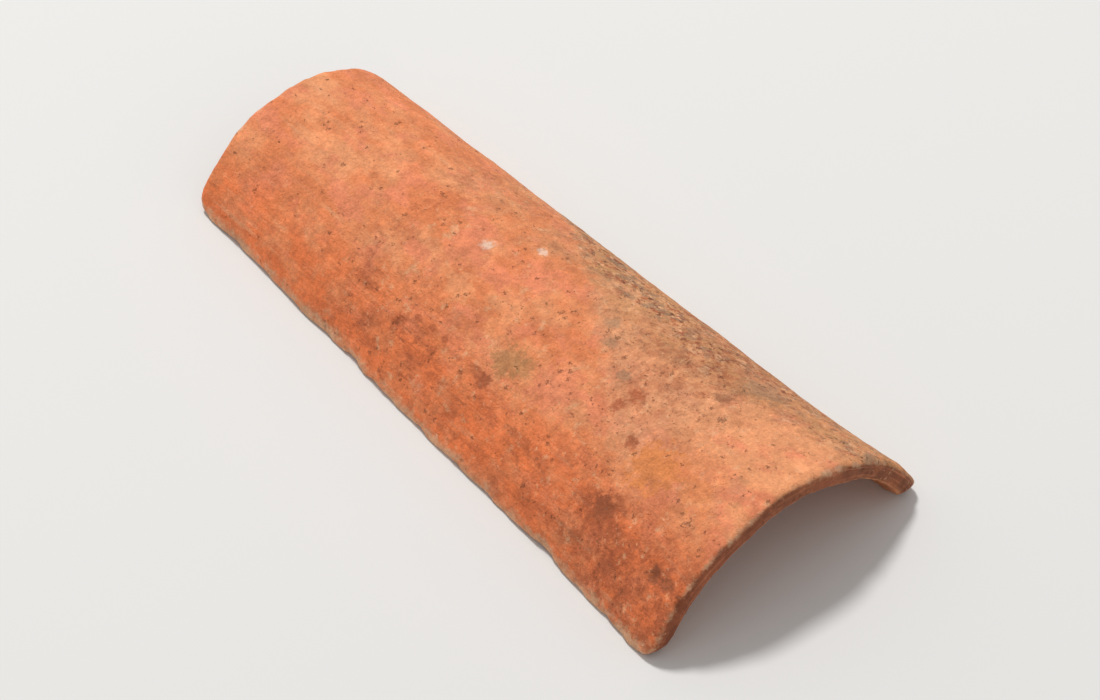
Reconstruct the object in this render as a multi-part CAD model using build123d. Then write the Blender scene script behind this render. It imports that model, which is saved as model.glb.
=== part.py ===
from build123d import *
import math
import os

# Clay barrel roof tile: one sheet of fired clay, bent over a former shaped as half a cone.
# It lies crown up on its two long feet, on the plane z = 0. X runs across the barrel,
# and +Y runs from the wide nose, the lower end on a roof, to the narrow head.
# The origin is on the floor under the middle of the tile. Lengths are in millimetres.

# The barrel, measured over its outside, before the nose opens out.
tile_length = 440.0
nose_width = 199.0
head_width = 150.0
nose_rise = 68.0
head_rise = 56.0

# The clay sheet.
wall = 14.0

# The bell of the nose: how far it opens out all round, and over what length.
bell_depth = 3.0
bell_length = 95.0

# The cut edge of the sheet: its four rounded corners, the outer arris rubbed round by
# hand, and the inner arris left with the bevel of the cutting wire.
corner_radius = 12.0
outer_arris_radius = 3.6
inner_arris_bevel = 1.8


def arch_radius(width, rise):
    """Radius of the arc that stands on the floor with this width and this rise."""
    return ((width / 2) ** 2 + rise**2) / (2 * rise)


# The cone that the barrel is part of. Its axis lies under the floor.
nose_radius = arch_radius(nose_width, nose_rise)
head_radius = arch_radius(head_width, head_rise)
nose_centre = Vector(0, -tile_length / 2, nose_rise - nose_radius)
head_centre = Vector(0, tile_length / 2, head_rise - head_radius)
cone_axis = Axis(nose_centre, head_centre - nose_centre)
cone_length = (head_centre - nose_centre).length
cone_angle = math.atan2(nose_radius - head_radius, cone_length)


def cone_point(along, outwards):
    """Point on the cone's side, this far along it from the nose and this far out of it."""
    x = along * math.cos(cone_angle) + outwards * math.sin(cone_angle)
    y = nose_radius - along * math.sin(cone_angle) + outwards * math.cos(cone_angle)
    return (x, y)


def turned_barrel(inset):
    """Turned solid with the skin of the tile, inset from the outside and past both ends."""
    past_end = 2 * wall
    bell_radius = (bell_length**2 + bell_depth**2) / (2 * bell_depth)
    bell_turn = math.degrees(math.asin((bell_length + past_end) / bell_radius))

    head_end = cone_point(cone_length + past_end, -inset)
    bell_root = cone_point(bell_length, -inset)
    bell_centre = cone_point(bell_length, bell_radius)
    bell_start = 270 - math.degrees(cone_angle)
    bell = CenterArc(bell_centre, bell_radius + inset, bell_start, -bell_turn)
    nose_end = bell @ 1

    outline = [
        Line(head_end, bell_root),
        bell,
        Polyline(nose_end, (nose_end.X, 0), (head_end[0], 0), head_end),
    ]
    below_axis = Plane(origin=nose_centre, x_dir=cone_axis.direction, z_dir=(-1, 0, 0))
    return revolve(below_axis * make_face(outline), cone_axis, 360)


def trimming_block():
    """Block that gives the barrel its end faces, its floor plane and its corners."""
    height = max(nose_rise, head_rise) + bell_depth + wall
    side = Plane.YZ * Pos(0, height / 2) * Rectangle(tile_length, height)
    side = fillet(side.vertices().group_by(Axis.Z)[0], corner_radius)
    return extrude(side, amount=nose_width / 2 + bell_depth + wall, both=True)


def barrel_tile():
    """The tile: the barrel trimmed to length, hollowed, with its arrises dressed."""
    outside = turned_barrel(0)
    trim = trimming_block()
    solid = outside & trim
    solid = fillet(new_edges(outside, trim, combined=solid), outer_arris_radius)

    inside = turned_barrel(wall)
    shell = solid - inside
    return chamfer(new_edges(solid, inside, combined=shell), inner_arris_bevel)


os.makedirs("parts", exist_ok=True)
export_step(barrel_tile(), "parts/barrel_tile.step")
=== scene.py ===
"""Looks of the clay barrel roof tile: its shaped and weathered sheet, the light and the camera.

The tile is made as its maker makes it. A sheet of clay is spun about the axis of the cone that it
was bent over, gets its wall, is trimmed on the floor, at its ends and at its corners, and is then
worn by hand. Lengths are in metres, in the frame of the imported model: X across the barrel,
+Y from the wide nose to the narrow head, and the tile lies crown up on z = 0.

A place on the tile is given in skin coordinates: its arc from the crown, + to +X, its way along
the side from the nose, and its depth under the outer skin.
"""

import logging
import math
from dataclasses import dataclass, field
from enum import Enum
from typing import Any, Union

import bmesh
import bpy
import numpy as np
from mathutils import Matrix, Vector, noise


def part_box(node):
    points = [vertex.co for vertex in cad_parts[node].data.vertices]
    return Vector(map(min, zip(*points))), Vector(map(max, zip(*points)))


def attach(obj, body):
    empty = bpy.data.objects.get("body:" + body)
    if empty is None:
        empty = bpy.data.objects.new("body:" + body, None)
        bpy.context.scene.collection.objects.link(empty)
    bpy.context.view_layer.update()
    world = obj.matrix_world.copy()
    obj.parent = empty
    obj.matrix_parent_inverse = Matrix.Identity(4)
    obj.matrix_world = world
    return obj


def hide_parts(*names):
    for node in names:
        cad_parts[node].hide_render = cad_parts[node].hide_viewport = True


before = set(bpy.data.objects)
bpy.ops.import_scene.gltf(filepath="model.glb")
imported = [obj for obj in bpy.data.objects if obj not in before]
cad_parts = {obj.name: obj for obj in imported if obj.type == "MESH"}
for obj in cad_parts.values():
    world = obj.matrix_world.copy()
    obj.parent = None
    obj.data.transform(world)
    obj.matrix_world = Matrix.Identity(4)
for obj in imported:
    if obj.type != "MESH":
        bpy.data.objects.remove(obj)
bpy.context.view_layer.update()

NODE = "barrel_tile"
BODY = "root"
SLOT = "fired_clay"
SKIN = "skin"
ARRIS = "arris"

# The way along past which the head was covered.
LAP_LINE = 0.312

log = logging.getLogger(NODE)

Span = tuple[float, float]
Triple = tuple[float, float, float]
Colour = Triple
Number = Union[float, "Field"]
Paint = Union[Colour, "Field"]


def arch_radius(width: float, rise: float) -> float:
    """Radius of the arc that stands on the floor with this width and this rise."""
    return ((width / 2) ** 2 + rise**2) / (2 * rise)


def ease(values: np.ndarray, low: float, high: float) -> np.ndarray:
    """Smooth step from 0 at low to 1 at high."""
    t = np.clip((values - low) / (high - low), 0, 1)
    return t * t * (3 - 2 * t)


def coordinates(bm: bmesh.types.BMesh) -> np.ndarray:
    """The vertices of a mesh as one row of three coordinates each."""
    return np.array([v.co for v in bm.verts])


def smooth(bm: bmesh.types.BMesh, verts: list[bmesh.types.BMVert]) -> None:
    """Moves vertices halfway to the middle of their neighbours."""
    bmesh.ops.smooth_vert(bm, verts=verts, factor=0.5, use_axis_x=True, use_axis_y=True, use_axis_z=True)


def placed(name: str, data: Any) -> bpy.types.Object:
    """Puts a new object into the scene.

    Args:
        name: Its name.
        data: The mesh, lamp or camera that it holds.

    Returns:
        The object.
    """
    made = bpy.data.objects.new(name, data)
    bpy.context.scene.collection.objects.link(made)
    return made


@dataclass(frozen=True)
class Former:
    """The half cone that the sheet was bent over, and the bell that its nose opens into.

    Widths and rises are measured over the outside of the tile, before the bell.
    """

    length: float
    nose_width: float = 0.199
    head_width: float = 0.150
    nose_rise: float = 0.068
    head_rise: float = 0.056
    bell_depth: float = 0.003
    bell_length: float = 0.095

    @property
    def nose_radius(self) -> float:
        """Radius of the outside at the nose."""
        return arch_radius(self.nose_width, self.nose_rise)

    @property
    def head_radius(self) -> float:
        """Radius of the outside at the head."""
        return arch_radius(self.head_width, self.head_rise)

    @property
    def nose_centre(self) -> Vector:
        """Point of the cone's axis at the nose."""
        return Vector((0, -self.length / 2, self.nose_rise - self.nose_radius))

    @property
    def axis(self) -> Vector:
        """Unit vector along the cone's axis, from the nose to the head."""
        head_centre = Vector((0, self.length / 2, self.head_rise - self.head_radius))
        return (head_centre - self.nose_centre).normalized()

    @property
    def crown_way(self) -> Vector:
        """Unit vector square to the axis, towards the crown."""
        return Vector((0, -self.axis.z, self.axis.y))

    @property
    def slope(self) -> float:
        """Angle between the cone's side and its axis, in radians."""
        return math.atan2(self.nose_radius - self.head_radius, self.length / self.axis.y)

    @property
    def side(self) -> float:
        """Length of the cone's side from the nose to the head."""
        return self.length / self.axis.y / math.cos(self.slope)

    def bell(self, along: np.ndarray | float) -> np.ndarray | float:
        """How far the bell stands out of the cone, this far along its side.

        Args:
            along: Way along the side from the nose, of one point or of many.

        Returns:
            The distance, square to the side.
        """
        radius = (self.bell_length**2 + self.bell_depth**2) / (2 * self.bell_depth)
        inside = np.maximum(self.bell_length - along, 0)
        return radius - np.sqrt(radius**2 - inside**2)

    def crown_point(self, along: float) -> Vector:
        """Finds a point of the crown line.

        Args:
            along: Its way along the cone's side from the nose.

        Returns:
            The point, on the outside of the sheet.
        """
        out = float(self.bell(along))
        axial = along * math.cos(self.slope) + out * math.sin(self.slope)
        radial = self.nose_radius - along * math.sin(self.slope) + out * math.cos(self.slope)
        return self.nose_centre + self.axis * axial + self.crown_way * radial

    def turned(self, angle: float) -> Matrix:
        """Matrix that turns by an angle in radians about the cone's axis."""
        return Matrix.Rotation(angle, 3, self.axis)

    def skin_point(self, turn: float, along: float) -> Vector:
        """Point of the outside, this many degrees from the crown and this far along the side."""
        arm = self.crown_point(along) - self.nose_centre
        return self.nose_centre + self.turned(math.radians(turn)) @ arm

    def skin_coordinates(self, points: np.ndarray) -> np.ndarray:
        """Unrolls points of the tile onto its outer skin.

        Args:
            points: One row of three coordinates for each point.

        Returns:
            Arc, way along and depth, in one row for each point.
        """
        away = points - np.array(self.nose_centre)
        axial = away @ np.array(self.axis)
        height = away @ np.array(self.crown_way)
        radial = np.hypot(away[:, 0], height) - self.nose_radius
        along = axial * math.cos(self.slope) - radial * math.sin(self.slope)
        out = axial * math.sin(self.slope) + radial * math.cos(self.slope)
        radius = self.nose_radius - along * math.sin(self.slope)
        arc = np.arctan2(away[:, 0], height) * radius
        return np.column_stack([arc, along, self.bell(along) - out])


@dataclass(frozen=True)
class Ripple:
    """One layer of smooth noise.

    Attributes:
        size: Length of a wave, or its length along each coordinate.
        seed: Shift of the noise, so that two layers differ.
        share: Strength of the layer.
    """

    size: float | Triple
    seed: float
    share: float = 1.0

    def read(self, points: np.ndarray) -> np.ndarray:
        """Reads the noise at a set of points.

        Args:
            points: One row of three coordinates for each point.

        Returns:
            One value for each point, from about -1 to 1 times the share.
        """
        rows = (points / np.array(self.size) + self.seed).tolist()
        return self.share * np.array([noise.noise(row) for row in rows])


@dataclass(frozen=True)
class Relief:
    """One kind of unevenness, made of layers of noise.

    Attributes:
        height: How far it moves the surface, for a noise of 1.
        bias: What is added to the noise, so that it goes mostly one way.
        ripples: The layers.
    """

    height: float
    bias: float
    ripples: tuple[Ripple, ...]

    def read(self, points: np.ndarray) -> np.ndarray:
        """How far it moves the surface at each point."""
        return self.height * (sum(ripple.read(points) for ripple in self.ripples) + self.bias)


@dataclass(frozen=True)
class Pit:
    """A roundish hole left by a burnt-out straw or a lost stone, in skin coordinates."""

    arc: float
    along: float
    radius: float
    depth: float


@dataclass(frozen=True)
class Spall:
    """A flake of clay lost from an outer arris, this many degrees from the crown."""

    turn: float
    along: float
    radius: float
    depth: float


@dataclass(frozen=True)
class HandWork:
    """What the maker's hands, the sand and the years do to the sheet's surface.

    It moves the surface by a millimetre or two, and mostly inwards, so the tile keeps its size.

    Attributes:
        warp: Long waves of the sheet, which lift it.
        warp_start: Height over the floor at which they have their full size.
        drag: Marks drawn along the outside, in skin coordinates.
        lumps: Lumps of the clay.
        sand: Its grain.
        outer_sand: Share of the grain that the outside has.
        skin_fade: Depths in the wall between which the work of one skin fades out.
        chips: Chips in the arrises, where this is above 0.
        chip_reach: How far from an outer arris they reach.
        inner_chips: Depth and reach of those in an inner arris, as shares of the outer ones'.
        covered_chips: Share of their depth that they have on the covered head.
        cover_fade: How far past the lap line this share is reached.
        deepest: Depth that no mark goes past.
        foot: Waves of the feet, inwards.
        rims: Waves of the nose's rim and of the head's, inwards where they are above 0.
        edge_reach: How far from the cut edges the waves of feet and rims reach.
        outer_wear: Width of the worn band along an outer arris.
        inner_wear: Width of the one along an inner arris, and its share of the wear.
        spall_wear: Share of the wear in the middle of a spall.
        spall_outline: Unevenness of a spall's outline, for a radius of 1.
        spall_floor: Share of a spall's radius that its floor takes.
        pit_floor: The same for a pit.
        pit_width: Width of a pit for a length of 1.
        pits: Holes in the outer skin.
        spalls: Flakes lost from the outer arrises.
    """

    warp: Relief = Relief(0.0009, 0.0, (Ripple((0.075, 0.120, 1), seed=6.2),))
    warp_start: float = 0.020
    drag: Relief = Relief(0.00034, 0.6, (Ripple((0.009, 0.150, 0.1), seed=3.1),
                                         Ripple((0.0045, 0.080, 0.1), seed=8.4, share=0.5)))
    lumps: Relief = Relief(0.00050, 0.5, (Ripple((0.022, 0.030, 0.022), seed=5.7),
                                          Ripple((0.009, 0.011, 0.009), seed=1.9, share=0.5)))
    sand: Relief = Relief(0.00040, 0.4, (Ripple(0.0045, seed=2.6),))
    outer_sand: float = 0.45
    skin_fade: Span = (0.0015, 0.0045)
    chips: Relief = Relief(0.0044, -0.18, (Ripple(0.014, seed=4.4), Ripple(0.0065, seed=7.3, share=0.4)))
    chip_reach: float = 0.0060
    inner_chips: Span = (0.5, 0.6)
    covered_chips: float = 0.4
    cover_fade: float = 0.030
    deepest: float = 0.0028
    foot: Relief = Relief(0.0016, 0.5, (Ripple((1, 0.045, 1), seed=9.3),))
    rims: tuple[Relief, Relief] = (
        Relief(0.0018, 0.45, (Ripple((0.038, 1, 1), seed=1.2),)),
        Relief(0.0018, 0.45, (Ripple((0.038, 1, 1), seed=3.2),)),
    )
    edge_reach: float = 0.030
    outer_wear: float = 0.008
    inner_wear: Span = (0.0065, 0.68)
    spall_wear: float = 0.62
    spall_outline: Relief = Relief(0.30, 0.0, (Ripple(0.007, seed=5.5),))
    spall_floor: float = 0.45
    pit_floor: float = 0.25
    pit_width: float = 0.8
    pits: tuple[Pit, ...] = (
        Pit(arc=-0.069, along=0.267, radius=0.0040, depth=0.0020),
        Pit(arc=-0.084, along=0.025, radius=0.0060, depth=0.0013),
        Pit(arc=-0.012, along=0.118, radius=0.0036, depth=0.0010),
        Pit(arc=-0.024, along=0.121, radius=0.0030, depth=0.0009),
        Pit(arc=-0.036, along=0.097, radius=0.0038, depth=0.0010),
        Pit(arc=0.022, along=0.086, radius=0.0042, depth=0.0011),
        Pit(arc=0.051, along=0.190, radius=0.0033, depth=0.0010),
    )
    spalls: tuple[Spall, ...] = (
        Spall(turn=24.0, along=0.000, radius=0.0085, depth=0.0018),
        Spall(turn=-47.0, along=0.001, radius=0.0065, depth=0.0015),
        Spall(turn=-69.6, along=0.104, radius=0.0105, depth=0.0017),
        Spall(turn=-71.6, along=0.286, radius=0.0080, depth=0.0014),
    )

    def press(self, skin: np.ndarray, points: np.ndarray, wall: float) -> np.ndarray:
        """How deep the drag marks, lumps, grain and pits go at each point.

        Args:
            skin: Skin coordinates of the points.
            points: The points themselves.
            wall: Thickness of the sheet.

        Returns:
            Depth along the surface's own normal.
        """
        start, end = self.skin_fade
        outside = 1 - ease(skin[:, 2], start, end)
        inside = ease(skin[:, 2], wall - end, wall - start)
        sandy = self.outer_sand + (1 - self.outer_sand) * inside
        depth = outside * self.drag.read(skin) + self.lumps.read(points) + sandy * self.sand.read(points)
        for pit in self.pits:
            gap = np.hypot(skin[:, 0] - pit.arc, self.pit_width * (skin[:, 1] - pit.along))
            depth += outside * pit.depth * (1 - ease(gap, self.pit_floor * pit.radius, pit.radius))
        return depth


@dataclass
class BarrelTile:
    """The tile: one sheet of fired clay, with its cut edges dressed and worn.

    Attributes:
        former: The cone that the sheet was bent over.
        wall: Thickness of the sheet.
        corner_radius: Rounding of the four corners, seen from the side.
        past_end: How far the sheet runs past both ends before it is trimmed.
        half_turn: Angle that the sheet is spun to each side of the crown, in degrees.
        spin_steps: Steps of that spin.
        bell_stations: Points along the bell.
        corner_cuts: Cuts that round one corner.
        mesh_size: Width of a face of the finished skin.
        outer_rub: How far from the outer arrises they are smoothed, and how many times.
        inner_rub: The same for the inner arrises.
        fold_angle: Turn between two faces past which they count as folded, in radians.
        fold_passes: Smoothing passes over what is folded, at most.
        work: The marks of the hand and of the weather.
    """

    former: Former
    wall: float = 0.014
    corner_radius: float = 0.012
    past_end: float = 0.028
    half_turn: float = 84.0
    spin_steps: int = 84
    bell_stations: int = 10
    corner_cuts: int = 6
    mesh_size: float = 0.00172
    outer_rub: tuple[float, int] = (0.0075, 14)
    inner_rub: tuple[float, int] = (0.0045, 4)
    fold_angle: float = 0.9
    fold_passes: int = 20
    work: HandWork = field(default_factory=HandWork)

    def build(self, finish: "FiredClay") -> bpy.types.Object:
        """Makes the whole tile.

        Args:
            finish: The clay's finish.

        Returns:
            The finished object, with its place in its mesh.
        """
        rough = bmesh.new()
        self.spin_sheet(rough)
        self.trim(rough)
        skin = self.even_skin(rough)
        self.rub_arrises(skin)
        self.work_surface(skin)
        self.relax_folds(skin)
        mesh = bpy.data.meshes.new("fired_tile")
        skin.to_mesh(mesh)
        skin.free()
        mesh.shade_smooth()
        self.mark_skin(mesh)
        mesh.materials.append(finish.material())
        return placed("fired_tile", mesh)

    def spin_sheet(self, bm: bmesh.types.BMesh) -> None:
        """Spins the crown line of the outside about the cone's axis and gives it the wall.

        Args:
            bm: An empty mesh, which receives the sheet.
        """
        bell_step = self.former.bell_length / self.bell_stations
        stations = [-self.past_end]
        stations += [bell_step * i for i in range(self.bell_stations + 1)]
        stations += [self.former.side + self.past_end]
        line = [bm.verts.new(self.former.crown_point(along)) for along in stations]
        edges = [bm.edges.new(pair) for pair in zip(line, line[1:])]
        turn = math.radians(self.half_turn)
        centre = self.former.nose_centre
        bmesh.ops.rotate(bm, verts=line, cent=centre, matrix=self.former.turned(-turn))
        bmesh.ops.spin(bm, geom=line + edges, cent=centre, axis=self.former.axis, angle=2 * turn,
                       steps=self.spin_steps, use_merge=False, use_duplicate=False)
        bmesh.ops.remove_doubles(bm, verts=bm.verts[:], dist=1e-6)
        bmesh.ops.recalc_face_normals(bm, faces=bm.faces[:])
        top = max(bm.faces, key=lambda f: f.calc_center_median().z)
        if top.normal.z < 0:
            bmesh.ops.reverse_faces(bm, faces=bm.faces[:])
        bmesh.ops.solidify(bm, geom=bm.faces[:], thickness=self.wall)

    def trim(self, bm: bmesh.types.BMesh) -> None:
        """Cuts the sheet at the floor, at both ends and round its four corners.

        Args:
            bm: The sheet.
        """
        half = self.former.length / 2
        self.cut(bm, Vector((0, 0, 0)), Vector((0, 0, -1)))
        for end in (-1, 1):
            self.cut(bm, Vector((0, end * half, 0)), Vector((0, end, 0)))
            centre = Vector((0, end * (half - self.corner_radius), self.corner_radius))
            for i in range(1, self.corner_cuts + 1):
                angle = math.pi / 2 * i / (self.corner_cuts + 1)
                outward = Vector((0, end * math.cos(angle), -math.sin(angle)))
                self.cut(bm, centre + outward * self.corner_radius, outward)

    @staticmethod
    def cut(bm: bmesh.types.BMesh, point: Vector, outward: Vector) -> None:
        """Cuts off what stands past a plane and closes the cut.

        Args:
            bm: The closed shell that is cut.
            point: A point on the plane.
            outward: The plane's normal, towards what goes.
        """
        whole = bm.verts[:] + bm.edges[:] + bm.faces[:]
        made = bmesh.ops.bisect_plane(bm, geom=whole, dist=1e-7, plane_co=point,
                                      plane_no=outward, clear_outer=True)
        rim = [e for e in made["geom_cut"] if isinstance(e, bmesh.types.BMEdge)]
        bmesh.ops.holes_fill(bm, edges=rim, sides=0)

    def even_skin(self, rough: bmesh.types.BMesh) -> bmesh.types.BMesh:
        """Remeshes the trimmed sheet into small even faces.

        Args:
            rough: The trimmed sheet, which is freed.

        Returns:
            A new mesh of the same shape, with faces of the mesh size.
        """
        bmesh.ops.triangulate(rough, faces=[f for f in rough.faces if len(f.verts) > 4])
        draft = bpy.data.meshes.new("draft")
        rough.to_mesh(draft)
        rough.free()
        holder = placed("draft", draft)
        remesh = holder.modifiers.new("even", "REMESH")
        remesh.mode = "VOXEL"
        remesh.voxel_size = self.mesh_size
        graph = bpy.context.evaluated_depsgraph_get()
        even = bpy.data.meshes.new_from_object(holder.evaluated_get(graph))
        bpy.data.objects.remove(holder)
        bpy.data.meshes.remove(draft)
        skin = bmesh.new()
        skin.from_mesh(even)
        bpy.data.meshes.remove(even)
        return skin

    def edge_gap(self, points: np.ndarray) -> np.ndarray:
        """How far inside the trimmed outline each point lies, seen from the side.

        Args:
            points: One row of three coordinates for each point.

        Returns:
            Its distance from the nearest cut.
        """
        end_gap = self.former.length / 2 - np.abs(points[:, 1])
        floor_gap = points[:, 2]
        r = self.corner_radius
        round_gap = r - np.hypot(np.maximum(r - end_gap, 0), np.maximum(r - floor_gap, 0))
        in_corner = (end_gap < r) & (floor_gap < r)
        return np.where(in_corner, round_gap, np.minimum(end_gap, floor_gap))

    def arris_gaps(self, points: np.ndarray) -> tuple[np.ndarray, np.ndarray]:
        """Measures how far each point is from the arrises.

        Args:
            points: One row of three coordinates for each point.

        Returns:
            Its distance from the outer and from the inner arris.
        """
        depth = self.former.skin_coordinates(points)[:, 2]
        gap = self.edge_gap(points)
        return np.hypot(depth, gap), np.hypot(self.wall - depth, gap)

    def rub_arrises(self, bm: bmesh.types.BMesh) -> None:
        """Rounds the arrises: the outer ones by hand, the inner ones hardly.

        Args:
            bm: The even skin.
        """
        outer, inner = self.arris_gaps(coordinates(bm))
        for gaps, (reach, passes) in ((outer, self.outer_rub), (inner, self.inner_rub)):
            near = [v for v, gap in zip(bm.verts, gaps) if gap < reach]
            for _ in range(passes):
                smooth(bm, near)

    def work_surface(self, bm: bmesh.types.BMesh) -> None:
        """Presses in the marks, chips the arrises, warps the sheet and waves its cut edges.

        Args:
            bm: The even skin, with its arrises rubbed.
        """
        bm.normal_update()
        points = coordinates(bm)
        normals = np.array([v.normal for v in bm.verts])
        skin = self.former.skin_coordinates(points)
        depth = self.work.press(skin, points, self.wall) + self.chipped(skin, points)
        depth = self.work.deepest * np.tanh(depth / self.work.deepest)
        moved = points - normals * depth[:, None] + self.wander(skin, points)
        moved[:, 2] = np.maximum(moved[:, 2], 0)
        for vert, place in zip(bm.verts, moved.tolist()):
            vert.co = place

    def chipped(self, skin: np.ndarray, points: np.ndarray) -> np.ndarray:
        """How deep the chips and spalls of the arrises go at each point.

        Args:
            skin: Skin coordinates of the points.
            points: The points themselves.

        Returns:
            Depth along the surface's own normal.
        """
        work = self.work
        outer, inner = self.arris_gaps(points)
        covered = ease(skin[:, 1], LAP_LINE, LAP_LINE + work.cover_fade)
        chips = np.maximum(work.chips.read(points), 0) * (1 - (1 - work.covered_chips) * covered)
        inner_depth, inner_reach = work.inner_chips
        depth = chips * (1 - ease(outer, 0, work.chip_reach))
        depth += inner_depth * chips * (1 - ease(inner, 0, inner_reach * work.chip_reach))
        for spall in work.spalls:
            depth += spall.depth * self.spalled(spall, points)
        return depth

    def spalled(self, spall: Spall, points: np.ndarray) -> np.ndarray:
        """How far each point lies inside a ragged spall.

        Args:
            spall: The spall.
            points: One row of three coordinates for each point.

        Returns:
            A share from 0, outside, to 1, in its middle.
        """
        centre = self.former.skin_point(spall.turn, spall.along)
        gap = np.linalg.norm(points - np.array(centre), axis=1)
        gap += spall.radius * self.work.spall_outline.read(points)
        return 1 - ease(gap, self.work.spall_floor * spall.radius, spall.radius)

    def wander(self, skin: np.ndarray, points: np.ndarray) -> np.ndarray:
        """How the warp and the waves of the cut edges move each point.

        Args:
            skin: Skin coordinates of the points.
            points: The points themselves.

        Returns:
            One row of three shifts for each point.
        """
        work = self.work
        lift = work.warp.read(points * (1, 1, 0)) * ease(points[:, 2], 0, work.warp_start)
        side = np.sign(points[:, 0])
        foot = work.foot.read(np.column_stack([side, points[:, 1], side]))
        across = -side * foot * (1 - ease(points[:, 2], 0, work.edge_reach))
        back = np.zeros(len(points))
        for end, rim in zip((-1, 1), work.rims):
            near_end = 1 - ease(self.former.length / 2 - end * points[:, 1], 0, work.edge_reach)
            back -= end * np.maximum(rim.read(skin * (1, 0, 0)), 0) * near_end
        return np.column_stack([across, back, lift])

    def relax_folds(self, bm: bmesh.types.BMesh) -> None:
        """Smooths the few places where a deep chip has folded the skin over.

        Args:
            bm: The worked skin.
        """
        for _ in range(self.fold_passes):
            bm.normal_update()
            sharp = [e for e in bm.edges if e.calc_face_angle(0.0) > self.fold_angle]
            if not sharp:
                break
            near = {v for e in sharp for end in e.verts for link in end.link_edges for v in link.verts}
            smooth(bm, sorted(near, key=lambda v: v.index))

    def mark_skin(self, mesh: bpy.types.Mesh) -> None:
        """Stores what the finish reads: the skin coordinates, and how worn an arris is.

        Args:
            mesh: The finished mesh.
        """
        flat = np.zeros(len(mesh.vertices) * 3)
        mesh.vertices.foreach_get("co", flat)
        points = flat.reshape(-1, 3)
        skin = self.former.skin_coordinates(points)
        skin[:, 2] = np.clip(skin[:, 2], 0, self.wall)
        layer = mesh.attributes.new(SKIN, "FLOAT_VECTOR", "POINT")
        layer.data.foreach_set("vector", skin.astype(np.float32).ravel())

        outer, inner = self.arris_gaps(points)
        inner_width, inner_share = self.work.inner_wear
        worn = np.maximum(1 - outer / self.work.outer_wear, inner_share * (1 - inner / inner_width))
        for spall in self.work.spalls:
            worn = np.maximum(worn, self.work.spall_wear * self.spalled(spall, points))
        layer = mesh.attributes.new(ARRIS, "FLOAT", "POINT")
        layer.data.foreach_set("value", worn.clip(0, 1).astype(np.float32))


class Field:
    """A number, vector or colour that changes over a surface: one output of a shader tree.

    Sums, differences and products of fields and numbers add the nodes that work them out.
    """

    def __init__(self, w: "Wiring", socket: bpy.types.NodeSocket) -> None:
        """Keeps the socket and the wiring of its tree."""
        self.w = w
        self.socket = socket

    def __add__(self, other: Number) -> "Field":
        """This plus another."""
        return self.w.math("ADD", self, other)

    def __sub__(self, other: Number) -> "Field":
        """This less another."""
        return self.w.math("SUBTRACT", self, other)

    def __rsub__(self, other: float) -> "Field":
        """A number less this."""
        return self.w.math("SUBTRACT", other, self)

    def __mul__(self, other: Number) -> "Field":
        """This times another."""
        return self.w.math("MULTIPLY", self, other)

    __radd__ = __add__
    __rmul__ = __mul__

    def highest(self, other: Number) -> "Field":
        """The higher of this and another."""
        return self.w.math("MAXIMUM", self, other)

    def step(self, low: Number, high: Number) -> "Field":
        """Smooth step from 0 at low to 1 at high, which may be the lower number."""
        inputs = {"Value": self, "From Min": low, "From Max": high}
        return self.w.add("ShaderNodeMapRange", inputs, interpolation_type="SMOOTHSTEP")

    def spread(self, low: float, high: float) -> "Field":
        """The middle of a noise, 0.3 to 0.7, drawn out to lie between two numbers."""
        inputs = {"Value": self, "From Min": 0.3, "From Max": 0.7, "To Min": low, "To Max": high}
        return self.w.add("ShaderNodeMapRange", inputs)

    def by(self, factor: Number) -> "Field":
        """This vector or colour times a number."""
        return self.w.add("ShaderNodeVectorMath", {0: self, 3: factor}, operation="SCALE")

    def scaled(self, x: float, y: float, z: float) -> "Field":
        """This vector with each part multiplied by a number."""
        return self.w.add("ShaderNodeMapping", {"Vector": self, "Scale": (x, y, z)})

    def noise(self, scale: Number, detail: float = 2.0, rough: float = 0.5) -> "Field":
        """Reads a noise at this vector.

        Args:
            scale: Waves for each unit of the vector.
            detail: Number of finer layers.
            rough: Strength of each finer layer.

        Returns:
            The noise's value, from 0 to 1.
        """
        inputs = {"Vector": self, "Scale": scale, "Detail": detail, "Roughness": rough}
        return self.w.add("ShaderNodeTexNoise", inputs)


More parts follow.
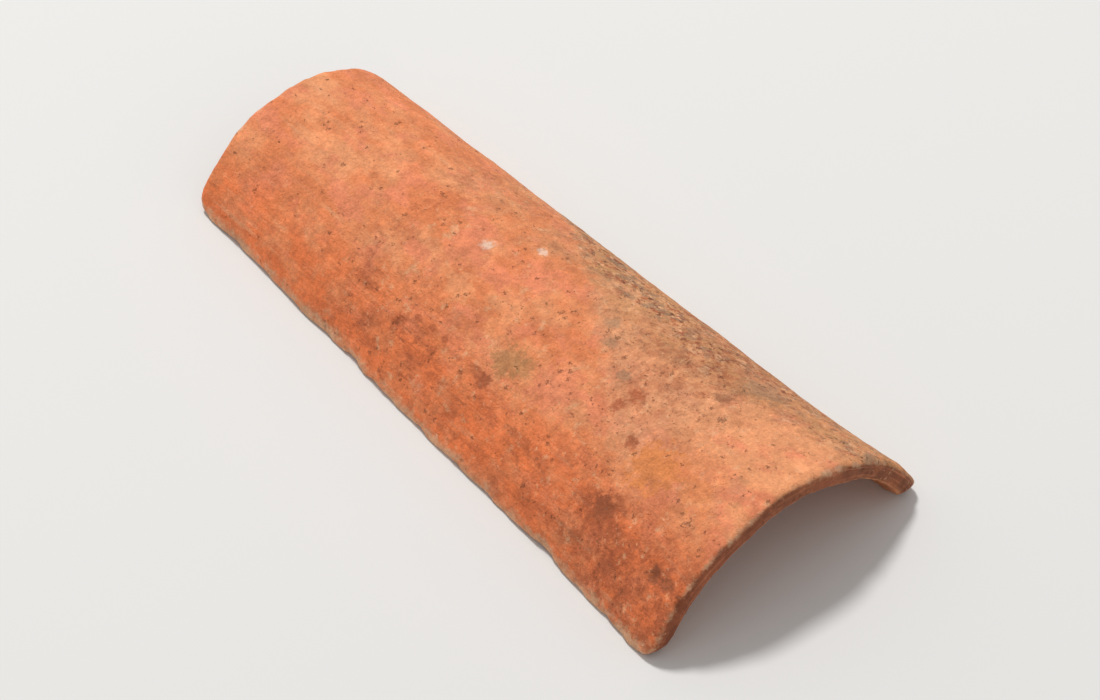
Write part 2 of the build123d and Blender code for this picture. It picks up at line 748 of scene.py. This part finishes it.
class Wiring:
    """Adds nodes to one shader tree and joins their sockets."""

    def __init__(self, tree: bpy.types.NodeTree) -> None:
        """Keeps the tree that the nodes go into."""
        self.tree = tree

    @classmethod
    def blank(cls, owner: bpy.types.Material | bpy.types.World) -> "Wiring":
        """Empties a tree of its default nodes.

        Args:
            owner: The material or world that has it.

        Returns:
            The tree's wiring.
        """
        owner.use_nodes = True
        owner.node_tree.nodes.clear()
        return cls(owner.node_tree)

    def node(self, kind: str, inputs: dict[Any, Any] | None = None, **settings: Any) -> bpy.types.Node:
        """Adds one node.

        Args:
            kind: Blender's name of the node's type.
            inputs: For each input, by name or number, a field to join or a value to set.
            settings: Properties of the node.

        Returns:
            The node.
        """
        made = self.tree.nodes.new(kind)
        for name, value in settings.items():
            setattr(made, name, value)
        for key, value in (inputs or {}).items():
            socket = made.inputs[key]
            if isinstance(value, Field):
                self.tree.links.new(value.socket, socket)
            elif socket.type == "RGBA":
                socket.default_value = (*value, 1.0)
            else:
                socket.default_value = value
        return made

    def add(self, kind: str, inputs: dict[Any, Any] | None = None, output: int | str = 0,
            **settings: Any) -> Field:
        """Adds one node, as node does, and gives one of its outputs, by name or number."""
        return Field(self, self.node(kind, inputs, **settings).outputs[output])

    def split(self, kind: str, inputs: dict[Any, Any] | None = None) -> dict[str, Field]:
        """Adds one node, as node does, and gives all its outputs, by name."""
        return {socket.name: Field(self, socket) for socket in self.node(kind, inputs).outputs}

    def math(self, operation: str, a: Number, b: Number) -> Field:
        """What comes out of an operation on two numbers, by Blender's name for it."""
        return self.add("ShaderNodeMath", {0: a, 1: b}, operation=operation)

    def vector(self, operation: str, a: Field, b: Field | Triple, output: int | str = 0) -> Field:
        """What comes out of an operation on two vectors, by Blender's name for it."""
        return self.add("ShaderNodeVectorMath", {0: a, 1: b}, output, operation=operation)

    def mix(self, mask: Number, under: Paint, over: Paint) -> Field:
        """One colour laid over another, where the mask is 1."""
        return self.add("ShaderNodeMix", {0: mask, 6: under, 7: over}, 2, data_type="RGBA")

    def group(self, group: bpy.types.NodeTree, **inputs: Any) -> Field:
        """Output of a placed node group, with its inputs by name."""
        return self.add("ShaderNodeGroup", inputs, node_tree=group)


class Kind(Enum):
    """Kinds of input that a node group has."""

    VALUE = "NodeSocketFloat"
    VECTOR = "NodeSocketVector"


class Group:
    """A shader node group with named inputs and one output, a value."""

    def __init__(self, name: str, output: str, **inputs: Kind) -> None:
        """Makes the group with its sockets.

        Args:
            name: The group's name.
            output: Its output's name.
            inputs: The kind of each input, by name.
        """
        self.tree = bpy.data.node_groups.new(name, "ShaderNodeTree")
        for title, kind in inputs.items():
            self.tree.interface.new_socket(name=title, in_out="INPUT", socket_type=kind.value)
        self.tree.interface.new_socket(name=output, in_out="OUTPUT", socket_type=Kind.VALUE.value)
        self.w = Wiring(self.tree)
        self.inputs = self.w.split("NodeGroupInput")

    def __getitem__(self, name: str) -> Field:
        """One of the inputs, as the group reads it."""
        return self.inputs[name]

    def give(self, value: Field) -> bpy.types.NodeTree:
        """Joins the output to a value and hands over the group."""
        self.w.node("NodeGroupOutput", {0: value})
        return self.tree


class Effects:
    """The node groups that the finish is built from. Each is made once and placed many times."""

    def __init__(self) -> None:
        """Makes every group."""
        self.patches = self.make_patches()
        self.specks = self.make_specks()
        self.spot = self.make_spot()
        self.grain = self.make_grain()
        self.wear = self.make_wear()

    @staticmethod
    def make_patches() -> bpy.types.NodeTree:
        """Makes cloudy patches.

        Returns:
            A group whose mask is 1 where its noise is above a level.
        """
        group = Group("Patches", "Mask", Vector=Kind.VECTOR, Scale=Kind.VALUE, Level=Kind.VALUE,
                      Softness=Kind.VALUE)
        cloud = group["Vector"].noise(group["Scale"], detail=5.0, rough=0.62)
        low = group["Level"] - group["Softness"]
        return group.give(cloud.step(low, group["Level"] + group["Softness"]))

    @staticmethod
    def make_specks() -> bpy.types.NodeTree:
        """Makes small ragged specks of many sizes.

        Returns:
            A group whose Share is the part of its cells that hold a speck.
        """
        group = Group("Specks", "Mask", Vector=Kind.VECTOR, Drift=Kind.VECTOR, Scale=Kind.VALUE,
                      Share=Kind.VALUE)
        w = group.w
        moved = group["Drift"].by(w.math("DIVIDE", 1.1, group["Scale"]))
        place = w.vector("ADD", group["Vector"], moved)
        cells = w.split("ShaderNodeTexVoronoi", {"Vector": place, "Scale": group["Scale"]})
        chance = w.split("ShaderNodeSeparateColor", {0: cells["Color"]})
        radius = chance["Red"] * chance["Red"] * 0.34 + 0.10
        dot = cells["Distance"].step(radius, radius * 0.45)
        return group.give(dot * w.math("LESS_THAN", chance["Green"], group["Share"]))

    @staticmethod
    def make_spot() -> bpy.types.NodeTree:
        """Makes one ragged spot round a centre.

        Returns:
            A group whose mask is 1 in the middle of the spot.
        """
        group = Group("Spot", "Mask", Vector=Kind.VECTOR, Centre=Kind.VECTOR, Radius=Kind.VALUE,
                      Ragged=Kind.VALUE)
        gap = group.w.vector("DISTANCE", group["Vector"], group["Centre"], "Value")
        gap = gap + group["Ragged"] * group["Radius"]
        return group.give(gap.step(group["Radius"], group["Radius"] * 0.45))

    @staticmethod
    def make_grain() -> bpy.types.NodeTree:
        """Makes the sandy grain, with its pores.

        Returns:
            A group that gives a height for the bump.
        """
        group = Group("Grain", "Height", Vector=Kind.VECTOR, Coarse=Kind.VALUE, Pores=Kind.VALUE)
        fine = group["Vector"].noise(1100.0, detail=2.0, rough=0.6) * 0.30
        sand = group["Vector"].noise(300.0, detail=4.0, rough=0.68) * group["Coarse"]
        return group.give(fine + sand - group["Pores"] * 0.6)

    @staticmethod
    def make_wear() -> bpy.types.NodeTree:
        """Makes the wear of an arris.

        Returns:
            A group whose ragged mask follows the arris.
        """
        group = Group("Arris Wear", "Mask", Arris=Kind.VALUE, Ragged=Kind.VALUE, Amount=Kind.VALUE)
        level = 1.0 - group["Amount"]
        return group.give((group["Arris"] + group["Ragged"]).step(level, level + 0.30))


@dataclass(frozen=True)
class Surface:
    """Tells a material where on the tile it is.

    Attributes:
        w: The material's wiring.
        effects: The shared node groups.
        place: Object coordinates.
        skin: Skin coordinates.
        arc: Arc from the crown.
        along: Way from the nose.
        depth: Depth under the outer skin.
        arris: Nearness of an arris, from 0 to 1.
        ragged: Noise about 0, some millimetres wide, which makes outlines ragged.
        drift: Finer noise about 0 in three parts, which makes specks ragged.
    """

    w: Wiring
    effects: Effects
    place: Field
    skin: Field
    arc: Field
    along: Field
    depth: Field
    arris: Field
    ragged: Field
    drift: Field

    @classmethod
    def read(cls, w: Wiring, effects: Effects) -> "Surface":
        """Reads what the tile's mesh stores.

        Args:
            w: The material's wiring.
            effects: The shared node groups.

        Returns:
            The fields.
        """
        place = w.add("ShaderNodeTexCoord", output="Object")
        skin = w.add("ShaderNodeAttribute", output="Vector", attribute_name=SKIN)
        parts = w.split("ShaderNodeSeparateXYZ", {0: skin})
        arris = w.add("ShaderNodeAttribute", output="Fac", attribute_name=ARRIS)
        ragged = place.noise(190.0, detail=5.0, rough=0.68) - 0.5
        fine = w.add("ShaderNodeTexNoise", {"Vector": place, "Scale": 800.0, "Detail": 2.0}, "Color")
        drift = w.vector("SUBTRACT", fine, (0.5, 0.5, 0.5))
        return cls(w, effects, place, skin, parts["X"], parts["Y"], parts["Z"], arris, ragged, drift)

    def patch(self, vector: Field, scale: float, level: float, softness: float) -> Field:
        """Mask of cloudy patches, this many to the metre."""
        return self.w.group(self.effects.patches, Vector=vector, Scale=scale, Level=level, Softness=softness)

    def dots(self, scale: float, share: Number) -> Field:
        """Mask of ragged specks in cells, this many to the metre."""
        return self.w.group(self.effects.specks, Vector=self.place, Drift=self.drift, Scale=scale,
                            Share=share)

    def streaks(self, arc: float, along: float, depth: float = 1.0, detail: float = 4.0,
                rough: float = 0.5) -> Field:
        """Noise drawn out over the skin, with this many waves to the metre each way."""
        return self.skin.scaled(arc, along, depth).noise(1.0, detail, rough)


@dataclass
class Coats:
    """A colour that is built up coat over coat.

    Attributes:
        at: Where on the tile.
        colour: The colour so far.
    """

    at: Surface
    colour: Paint

    def lay(self, mask: Field, tone: Paint, strength: float = 1.0) -> None:
        """Lays a tone over the colour, this strongly where the mask is 1."""
        self.colour = self.at.w.mix(mask * strength, self.colour, tone)

    def shade(self, scale: float, change: float) -> None:
        """Makes the colour cloudy, with this many clouds to the metre, by this much each way."""
        cloud = self.at.place.noise(scale, detail=4.0, rough=0.6)
        self.colour = self.colour.by(cloud.spread(1 - change, 1 + change))


@dataclass(frozen=True)
class Mark:
    """A ragged spot of its own colour on the outer skin, in skin coordinates."""

    arc: float
    along: float
    radius: float
    colour: Colour
    strength: float


@dataclass(frozen=True)
class FiredClay:
    """Matt unglazed terracotta after many years in the weather. Colours are linear.

    Attributes:
        effects: The shared node groups.
        near_flank: Arcs between which the near flank sets in.
        crust_start: Way along at which the edge of the far side's crust crosses the crown.
        crust_slant: Arc that this edge gains for each metre along.
    """

    effects: Effects
    near_flank: Span = (-0.040, -0.080)
    crust_start: float = 0.165
    crust_slant: float = 0.72
    body: Colour = (0.785, 0.241, 0.095)
    salmon: Colour = (0.830, 0.262, 0.132)
    tan: Colour = (0.880, 0.374, 0.173)
    ochre: Colour = (0.780, 0.260, 0.080)
    # Red of the near flank: partly the clay's own saturated colour, partly painted light that lifts the side
    # which the lamp leaves in shade.
    ember_and_painted_light: Colour = (0.870, 0.216, 0.072)
    stain: Colour = (0.400, 0.100, 0.040)
    crust: Colour = (0.585, 0.272, 0.112)
    crust_grey: Colour = (0.360, 0.205, 0.118)
    crust_dark: Colour = (0.160, 0.066, 0.036)
    speck: Colour = (0.230, 0.075, 0.034)
    lime: Colour = (0.880, 0.590, 0.440)
    olive: Colour = (0.440, 0.222, 0.088)
    worn: Colour = (0.740, 0.420, 0.245)
    # Cut faces: darker than the skin, partly as painted shade; darkest at the nose, where painted shade and
    # dirt lie on the rim.
    cut_clay_and_shade: Colour = (0.520, 0.165, 0.072)
    cut_dirt_and_shade: Colour = (0.170, 0.050, 0.026)
    inside: Colour = (0.640, 0.225, 0.105)
    dust: Colour = (0.840, 0.445, 0.238)

    def marks(self) -> tuple[Mark, ...]:
        """Lists the spots that stand out on the tile.

        Returns:
            The marks, in the order in which they are laid.
        """
        return (
            Mark(0.0040, 0.222, 0.0170, self.salmon, 0.65),
            Mark(-0.0080, 0.270, 0.0180, self.salmon, 0.70),
            Mark(-0.0400, 0.158, 0.0200, self.salmon, 0.70),
            Mark(-0.0300, 0.045, 0.0120, self.salmon, 0.50),
            Mark(-0.0300, 0.252, 0.0125, self.tan, 0.55),
            Mark(-0.0390, 0.074, 0.0200, self.ochre, 0.80),
            Mark(-0.0350, 0.044, 0.0130, self.ochre, 0.45),
            Mark(0.0515, 0.082, 0.0150, self.crust_grey, 0.60),
            Mark(-0.0160, 0.030, 0.0080, self.crust_grey, 0.30),
            Mark(0.0000, 0.263, 0.0054, self.lime, 0.90),
            Mark(0.0215, 0.240, 0.0044, self.lime, 0.85),
            Mark(-0.0460, 0.192, 0.0125, self.olive, 0.64),
            Mark(-0.0430, 0.181, 0.0090, self.olive, 0.48),
            # These two marks darken the pit at this place: painted shade in the hole, with the stain round
            # it.
            Mark(-0.0690, 0.267, 0.0034, self.crust_dark, 0.95),
            Mark(-0.0690, 0.267, 0.0080, self.stain, 0.55),
            Mark(-0.0705, 0.250, 0.0040, self.stain, 0.60),
            Mark(-0.0700, 0.237, 0.0046, self.stain, 0.50),
            Mark(-0.0590, 0.258, 0.0034, self.stain, 0.65),
            Mark(-0.0585, 0.246, 0.0030, self.stain, 0.60),
            Mark(-0.0590, 0.235, 0.0036, self.stain, 0.60),
            Mark(-0.0630, 0.197, 0.0075, self.stain, 0.70),
            Mark(-0.0780, 0.080, 0.0180, self.stain, 0.60),
            Mark(-0.0740, 0.083, 0.0095, self.crust_dark, 0.34),
            Mark(-0.0980, 0.058, 0.0130, self.stain, 0.60),
            # These two marks darken the pit at this place: painted shade in the hole, partly dirt.
            Mark(-0.0850, 0.028, 0.0068, self.crust_dark, 0.54),
            Mark(-0.0835, 0.018, 0.0064, self.crust_dark, 0.48),
            # These three stains lie in pits: painted shade in the holes, partly dirt.
            Mark(-0.0360, 0.096, 0.0065, self.stain, 0.70),
            Mark(-0.0130, 0.118, 0.0060, self.stain, 0.70),
            Mark(-0.0250, 0.121, 0.0055, self.stain, 0.65),
            Mark(-0.0090, 0.134, 0.0050, self.crust_grey, 0.60),
            Mark(0.0015, 0.159, 0.0060, self.crust_grey, 0.55),
            Mark(0.0135, 0.170, 0.0065, self.crust_grey, 0.60),
            # This mark darkens the pit at this place: painted shade in the hole, partly dark crust.
            Mark(0.0220, 0.086, 0.0070, self.crust_dark, 0.45),
            Mark(0.0150, 0.094, 0.0050, self.stain, 0.34),
        )

    def material(self) -> bpy.types.Material:
        """Builds the clay's material.

        Returns:
            The material, whose patterns follow the skin of the tile.
        """
        made = bpy.data.materials.new(SLOT)
        w = Wiring.blank(made)
        at = Surface.read(w, self.effects)
        on = Coats(at, self.body)
        self.lay_clay(on)
        clean = on.colour
        self.lay_strokes(on)
        self.lay_crust(on)
        self.lay_stains(on)
        self.lay_specks(on)
        self.lay_head(on, clean)
        self.lay_marks(on)
        self.lay_inside(on)
        self.lay_edges(on)
        swarm = at.place.noise(70.0, detail=4.0).step(0.44, 0.62)
        pores = at.dots(scale=260.0, share=swarm * 0.60)
        on.lay(pores, self.speck, strength=0.40)
        for scale, change in ((55.0, 0.12), (170.0, 0.15), (620.0, 0.14)):
            on.shade(scale, change)

        grain = w.group(self.effects.grain, Vector=at.place, Coarse=0.8, Pores=pores)
        height = grain + at.streaks(arc=210.0, along=16.0, depth=60.0, rough=0.6) * 0.5
        shader = w.add("ShaderNodeBsdfPrincipled", {
            "Base Color": on.colour,
            "Roughness": at.place.noise(60.0, detail=4.0).spread(0.80, 0.96),
            "Normal": w.add("ShaderNodeBump", {"Height": height, "Strength": 1.0, "Distance": 0.0016}),
            "Specular IOR Level": 0.25,
        })
        w.node("ShaderNodeOutputMaterial", {"Surface": shader})
        return made

    def flank(self, at: Surface) -> Field:
        """Mask of the near flank."""
        return at.arc.step(*self.near_flank)

    def far_side(self, at: Surface) -> Field:
        """Mask of what lies past the slanting line where dust and crust begin."""
        line = (at.along - self.crust_start) * self.crust_slant
        return (at.arc + at.ragged * 0.024 - line).step(-0.008, 0.010)

    def stained(self, at: Surface) -> Field:
        """How stained each place is: most on the near flank at the nose, less in the middle."""
        middle = at.arc.step(-0.045, -0.010) * at.along.step(0.19, 0.12) * at.along.step(0.05, 0.10)
        return self.flank(at) * at.along.step(0.15, 0.06) + middle * 0.6

    def lay_clay(self, on: Coats) -> None:
        """Lays the fired clay itself: cloudy tones, the near flank's red, which is partly painted light, and
        faint streaks where the hand drew along it.

        Args:
            on: The coats, with the body's colour.
        """
        at = on.at
        drawn = at.skin.scaled(1.0, 0.6, 1.0)
        pale = at.patch(drawn, scale=30.0, level=0.52, softness=0.11) * 0.75
        crown = at.arc.step(-0.034, -0.002) * at.along.step(0.132, 0.082) * 0.84
        on.lay(pale.highest(crown), self.tan)
        on.lay(at.patch(drawn, scale=47.0, level=0.55, softness=0.07), self.salmon, strength=0.8)
        # The near flank gets its red here, in patches: partly its own colour, partly painted light on the
        # side that the lamp shades.
        ember_and_light_share = at.patch(drawn, scale=58.0, level=0.48, softness=0.10) * 0.60 + 0.40
        on.lay(self.flank(at) * ember_and_light_share, self.ember_and_painted_light)

        broken = at.streaks(arc=30.0, along=16.0, detail=3.0).step(0.42, 0.62)
        streak = at.streaks(arc=170.0, along=14.0, detail=5.0, rough=0.62)
        on.lay(streak.step(0.53, 0.68) * broken, self.stain, strength=0.26)
        on.lay(streak.step(0.46, 0.32) * broken, self.dust, strength=0.40)

    def lay_strokes(self, on: Coats) -> None:
        """Lays rusty clouds, and rows of short dark strokes along the near flank.

        Args:
            on: The coats so far.
        """
        at = on.at
        rust = at.patch(at.skin.scaled(1.0, 0.6, 1.0), scale=85.0, level=0.55, softness=0.06)
        on.lay(rust * (self.flank(at) * 0.22 + 0.20), self.stain)
        band = at.arc.step(-0.040, -0.062) * at.arc.step(-0.108, -0.088)
        reach = at.along.step(0.08, 0.25) * at.along.step(0.35, 0.28)
        strokes = at.streaks(arc=330.0, along=48.0, rough=0.68).step(0.50, 0.64)
        gaps = at.streaks(arc=70.0, along=60.0, detail=3.0).step(0.44, 0.60)
        on.lay(strokes * gaps * band * reach, self.stain, strength=0.75)

    def lay_crust(self, on: Coats) -> None:
        """Lays the dust past the crown, and the far side's brown and grey crust, mottled to small grains.

        Args:
            on: The coats so far.
        """
        at = on.at
        past = self.far_side(at)
        on.lay(past * at.along.step(0.050, 0.110), self.dust, strength=0.43)
        inset = at.along.step(0.110, 0.045) * 0.025
        far = (at.arc - inset).step(0.000, 0.042) * (past * 0.75 + 0.25)
        cover = at.patch(at.skin, scale=40.0, level=0.48, softness=0.12) * 0.5 + 0.42
        on.lay(far * cover, self.crust)
        far = far.highest(past * at.along.step(0.070, 0.120) * 0.32)
        thick = at.patch(at.skin.scaled(1.0, 0.7, 1.0), scale=26.0, level=0.49, softness=0.10)
        on.lay(far * thick, self.crust_grey, strength=0.13)
        far = far * (thick * 0.72 + 0.38)
        for scale, level, strength, tone in ((95.0, 0.53, 0.80, self.crust_grey),
                                             (150.0, 0.57, 0.66, self.stain),
                                             (260.0, 0.60, 0.86, self.crust_dark),
                                             (200.0, 0.59, 0.76, self.dust)):
            on.lay(at.patch(at.place, scale, level, softness=0.05) * far, tone, strength)

    def lay_stains(self, on: Coats) -> None:
        """Lays brown stains at the nose and in the middle, and pale bloom.

        Args:
            on: The coats so far.
        """
        at = on.at
        stain = at.patch(at.place, scale=130.0, level=0.52, softness=0.08) * 0.50 + 0.20
        on.lay(stain * self.stained(at), self.stain)
        bloom = at.patch(at.place, scale=125.0, level=0.61, softness=0.05) * at.ragged.step(-0.10, 0.10)
        on.lay(bloom, self.dust, strength=0.60)

    def lay_specks(self, on: Coats) -> None:
        """Lays dark specks of three sizes, denser where the tile is dirty, and pale ones.

        Args:
            on: The coats so far.
        """
        at = on.at
        far = self.far_side(at) * at.along.step(0.050, 0.100)
        dirty = far * 0.40 + self.stained(at) * 0.25
        swarm = at.place.noise(45.0, detail=3.0, rough=0.6).step(0.36, 0.64)
        share = (dirty + 0.16) * (swarm * 1.1 + 0.3)
        for scale, part, strength, tone in ((520.0, 1.3, 0.60, self.speck),
                                            (230.0, 0.75, 0.60, self.speck),
                                            (105.0, 0.50, 0.64, self.crust_dark)):
            on.lay(at.dots(scale, share * part), tone, strength)
        on.lay(at.dots(scale=300.0, share=0.16), self.dust, strength=0.55)

    def lay_head(self, on: Coats, clean: Field) -> None:
        """Lays the head, which was covered: cleaner, with a faint broken line of dirt at its edge.

        Args:
            on: The coats so far.
            clean: The clay's colour before it weathered.
        """
        at = on.at
        edge = at.along + (at.place.noise(30.0, detail=5.0, rough=0.65) - 0.5) * 0.050
        thin = at.patch(at.place, scale=60.0, level=0.45, softness=0.25) * 0.40 + 0.45
        on.lay(edge.step(LAP_LINE - 0.007, LAP_LINE + 0.023) * thin, clean)
        line = edge.step(LAP_LINE - 0.012, LAP_LINE) * edge.step(LAP_LINE + 0.014, LAP_LINE)
        on.lay(line * at.ragged.step(-0.08, 0.12), self.stain, strength=0.40)

    def lay_marks(self, on: Coats) -> None:
        """Lays the single marks on the outer skin.

        Args:
            on: The coats so far.
        """
        at = on.at
        ragged = at.ragged * 2.6
        for mark in self.marks():
            spot = at.w.group(self.effects.spot, Vector=at.skin, Centre=(mark.arc, mark.along, 0.0),
                              Radius=mark.radius, Ragged=ragged)
            on.lay(spot, mark.colour, mark.strength)

    def lay_inside(self, on: Coats) -> None:
        """Lays the inside, which lay on the sanded former: plainer, sandy, rubbed along its length.

        Args:
            on: The coats so far.
        """
        at = on.at
        inner = Coats(at, self.inside)
        patches = at.patch(at.skin.scaled(1.0, 0.5, 1.0), scale=26.0, level=0.54, softness=0.10)
        inner.lay(patches, self.crust, strength=0.55)
        rub = at.streaks(arc=130.0, along=9.0, detail=5.0, rough=0.62)
        inner.lay(rub.step(0.52, 0.70), self.stain, strength=0.35)
        inner.lay(rub.step(0.47, 0.34), self.dust, strength=0.35)
        inner.lay(at.dots(scale=420.0, share=0.50), self.dust, strength=0.55)
        inner.lay(at.dots(scale=260.0, share=0.28), self.speck, strength=0.60)
        on.lay(at.depth.step(0.0105, 0.0130), inner.colour)

    def lay_edges(self, on: Coats) -> None:
        """Lays the cut faces, darkened partly with painted shade and darkest at the nose, the pale worn
        arrises and the pale rubbed feet.

        Args:
            on: The coats so far.
        """
        at = on.at
        cut = Coats(at, self.cut_clay_and_shade)
        # The nose's rim is darkened most: painted shade of the rim, together with its dirt.
        dirt = at.along.step(0.045, 0.010) * 0.47 + 0.08
        cut.lay(dirt + at.patch(at.place, scale=70.0, level=0.48, softness=0.16) * 0.38, self.cut_dirt_and_shade)
        wire = at.streaks(arc=22.0, along=22.0, depth=620.0, rough=0.6)
        cut.lay(wire.step(0.50, 0.66), self.inside, strength=0.45)
        cut.lay(at.dots(scale=330.0, share=0.45), self.dust, strength=0.55)
        face = at.depth.step(0.0016, 0.0034) * at.depth.step(0.0128, 0.0112)
        on.lay(face, cut.colour, strength=0.9)
        worn = at.w.group(self.effects.wear, Arris=at.arris, Ragged=at.ragged, Amount=0.56)
        on.lay(worn, self.worn, strength=0.80)
        floor_gap = at.w.split("ShaderNodeSeparateXYZ", {0: at.place})["Z"]
        rubbed = (floor_gap + at.ragged * 0.014).step(0.0095, 0.0045) * at.depth.step(0.006, 0.002)
        bare = at.patch(at.place, scale=75.0, level=0.50, softness=0.08) * 0.60 + 0.25
        on.lay(rubbed * bare, self.worn)


@dataclass(frozen=True)
class Studio:
    """A plain pale floor, one soft key lamp and an even sky.

    Attributes:
        floor_size: Width of the floor.
        floor_drop: How far it lies under the tile's feet, so that the two don't flicker.
        floor_colour: Its colour.
        sky: Strength of the sky's light.
        backdrop: Strength of the sky as it is seen.
        key_way: Way from the tile to the lamp.
        key_distance: Distance of the lamp.
        key_size: Width of the lamp.
        key_power: Its power in watts.
    """

    floor_size: float = 14.0
    floor_drop: float = 0.0002
    floor_colour: Colour = (0.80, 0.79, 0.77)
    sky: float = 0.48
    backdrop: float = 0.92
    key_way: Triple = (0.14, 0.46, 0.88)
    key_distance: float = 6.0
    key_size: float = 1.1
    key_power: float = 226.0

    def build(self, aim: Vector) -> None:
        """Places the floor, the lamp and the sky.

        Args:
            aim: The point that the lamp looks at.
        """
        self.build_floor()
        self.build_lamp(aim)
        self.build_sky()

    def build_floor(self) -> None:
        """Lays a matt pale floor."""
        bm = bmesh.new()
        bmesh.ops.create_grid(bm, x_segments=1, y_segments=1, size=self.floor_size / 2)
        bmesh.ops.translate(bm, verts=bm.verts[:], vec=(0, 0, -self.floor_drop))
        mesh = bpy.data.meshes.new("floor")
        bm.to_mesh(mesh)
        bm.free()
        paint = bpy.data.materials.new("floor")
        w = Wiring.blank(paint)
        inputs = {"Base Color": self.floor_colour, "Roughness": 0.9, "Specular IOR Level": 0.1}
        w.node("ShaderNodeOutputMaterial", {"Surface": w.add("ShaderNodeBsdfPrincipled", inputs)})
        mesh.materials.append(paint)
        placed("floor", mesh)

    def build_lamp(self, aim: Vector) -> None:
        """Hangs a round soft lamp.

        Args:
            aim: The point that it looks at.
        """
        data = bpy.data.lights.new("key", "AREA")
        data.shape = "DISK"
        data.size = self.key_size
        data.energy = self.key_power
        lamp = placed("key", data)
        way = Vector(self.key_way).normalized()
        lamp.location = aim + way * self.key_distance
        lamp.rotation_mode = "QUATERNION"
        lamp.rotation_quaternion = (-way).to_track_quat("-Z", "Y")

    def build_sky(self) -> None:
        """Spreads an even sky, which lights softly and shows as a pale backdrop."""
        world = bpy.data.worlds.new("sky")
        bpy.context.scene.world = world
        w = Wiring.blank(world)
        path = w.split("ShaderNodeLightPath")
        seen = path["Is Camera Ray"].highest(path["Is Glossy Ray"]).highest(path["Is Transmission Ray"])
        strength = seen * (self.backdrop - self.sky) + self.sky
        sky = w.add("ShaderNodeBackground", {"Color": (1.0, 1.0, 1.0), "Strength": strength})
        w.node("ShaderNodeOutputWorld", {"Surface": sky})


@dataclass(frozen=True)
class PhotoCamera:
    """A long lens at the photograph's angle to the tile.

    Attributes:
        azimuth: Way the camera looks, from +Y towards +X, in degrees.
        elevation: Height of the camera above the floor's plane, in degrees.
        lens: Focal length in millimetres.
        sensor: Width of the sensor in millimetres.
        fill: Share of the picture's height that the tile takes.
        aspect: Width of the picture over its height.
        far_clip: Distance past which nothing shows.
    """

    azimuth: float = 40.0
    elevation: float = 46.5
    lens: float = 200.0
    sensor: float = 36.0
    fill: float = 0.84
    aspect: float = 1100 / 700
    far_clip: float = 100.0

    def build(self, points: list[Vector]) -> None:
        """Stands the camera so that the points are centred and fill the picture.

        Args:
            points: The tile's vertices.
        """
        az, el = math.radians(self.azimuth), math.radians(self.elevation)
        look = Vector((math.sin(az) * math.cos(el), math.cos(az) * math.cos(el), -math.sin(el)))
        right = look.cross(Vector((0, 0, 1))).normalized()
        up = right.cross(look)
        aim = Vector()
        for way in (right, up, look):
            reach = [point.dot(way) for point in points]
            aim += way * (min(reach) + max(reach)) / 2
        high = [point.dot(up) for point in points]
        half_angle = math.atan(self.sensor / 2 / self.lens / self.aspect)
        distance = (max(high) - min(high)) / 2 / self.fill / math.tan(half_angle)

        data = bpy.data.cameras.new("camera")
        data.lens = self.lens
        data.sensor_width = self.sensor
        data.clip_end = self.far_clip
        camera = placed("camera", data)
        camera.location = aim - look * distance
        camera.rotation_mode = "QUATERNION"
        camera.rotation_quaternion = look.to_track_quat("-Z", "Y")
        bpy.context.scene.camera = camera


def report(piece: bpy.types.Object) -> None:
    """Logs a piece's name, its size in millimetres and its faces."""
    size = " x ".join(f"{1000 * side:.1f}" for side in piece.dimensions)
    log.info("%s: %s mm, %d faces", piece.name, size, len(piece.data.polygons))


def main() -> None:
    """Builds the tile, the studio and the camera in order."""
    logging.basicConfig(level=logging.INFO, format="%(name)s: %(message)s")
    low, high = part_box(NODE)
    former = Former(length=high.y - low.y)
    tile = BarrelTile(former).build(FiredClay(Effects()))
    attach(tile, BODY)
    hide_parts(NODE)
    report(tile)
    Studio().build((low + high) / 2)
    PhotoCamera().build([v.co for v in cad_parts[NODE].data.vertices])
    bpy.context.scene.view_settings.view_transform = "Standard"
    bpy.context.view_layer.update()


if __name__ == "__main__":
    main()
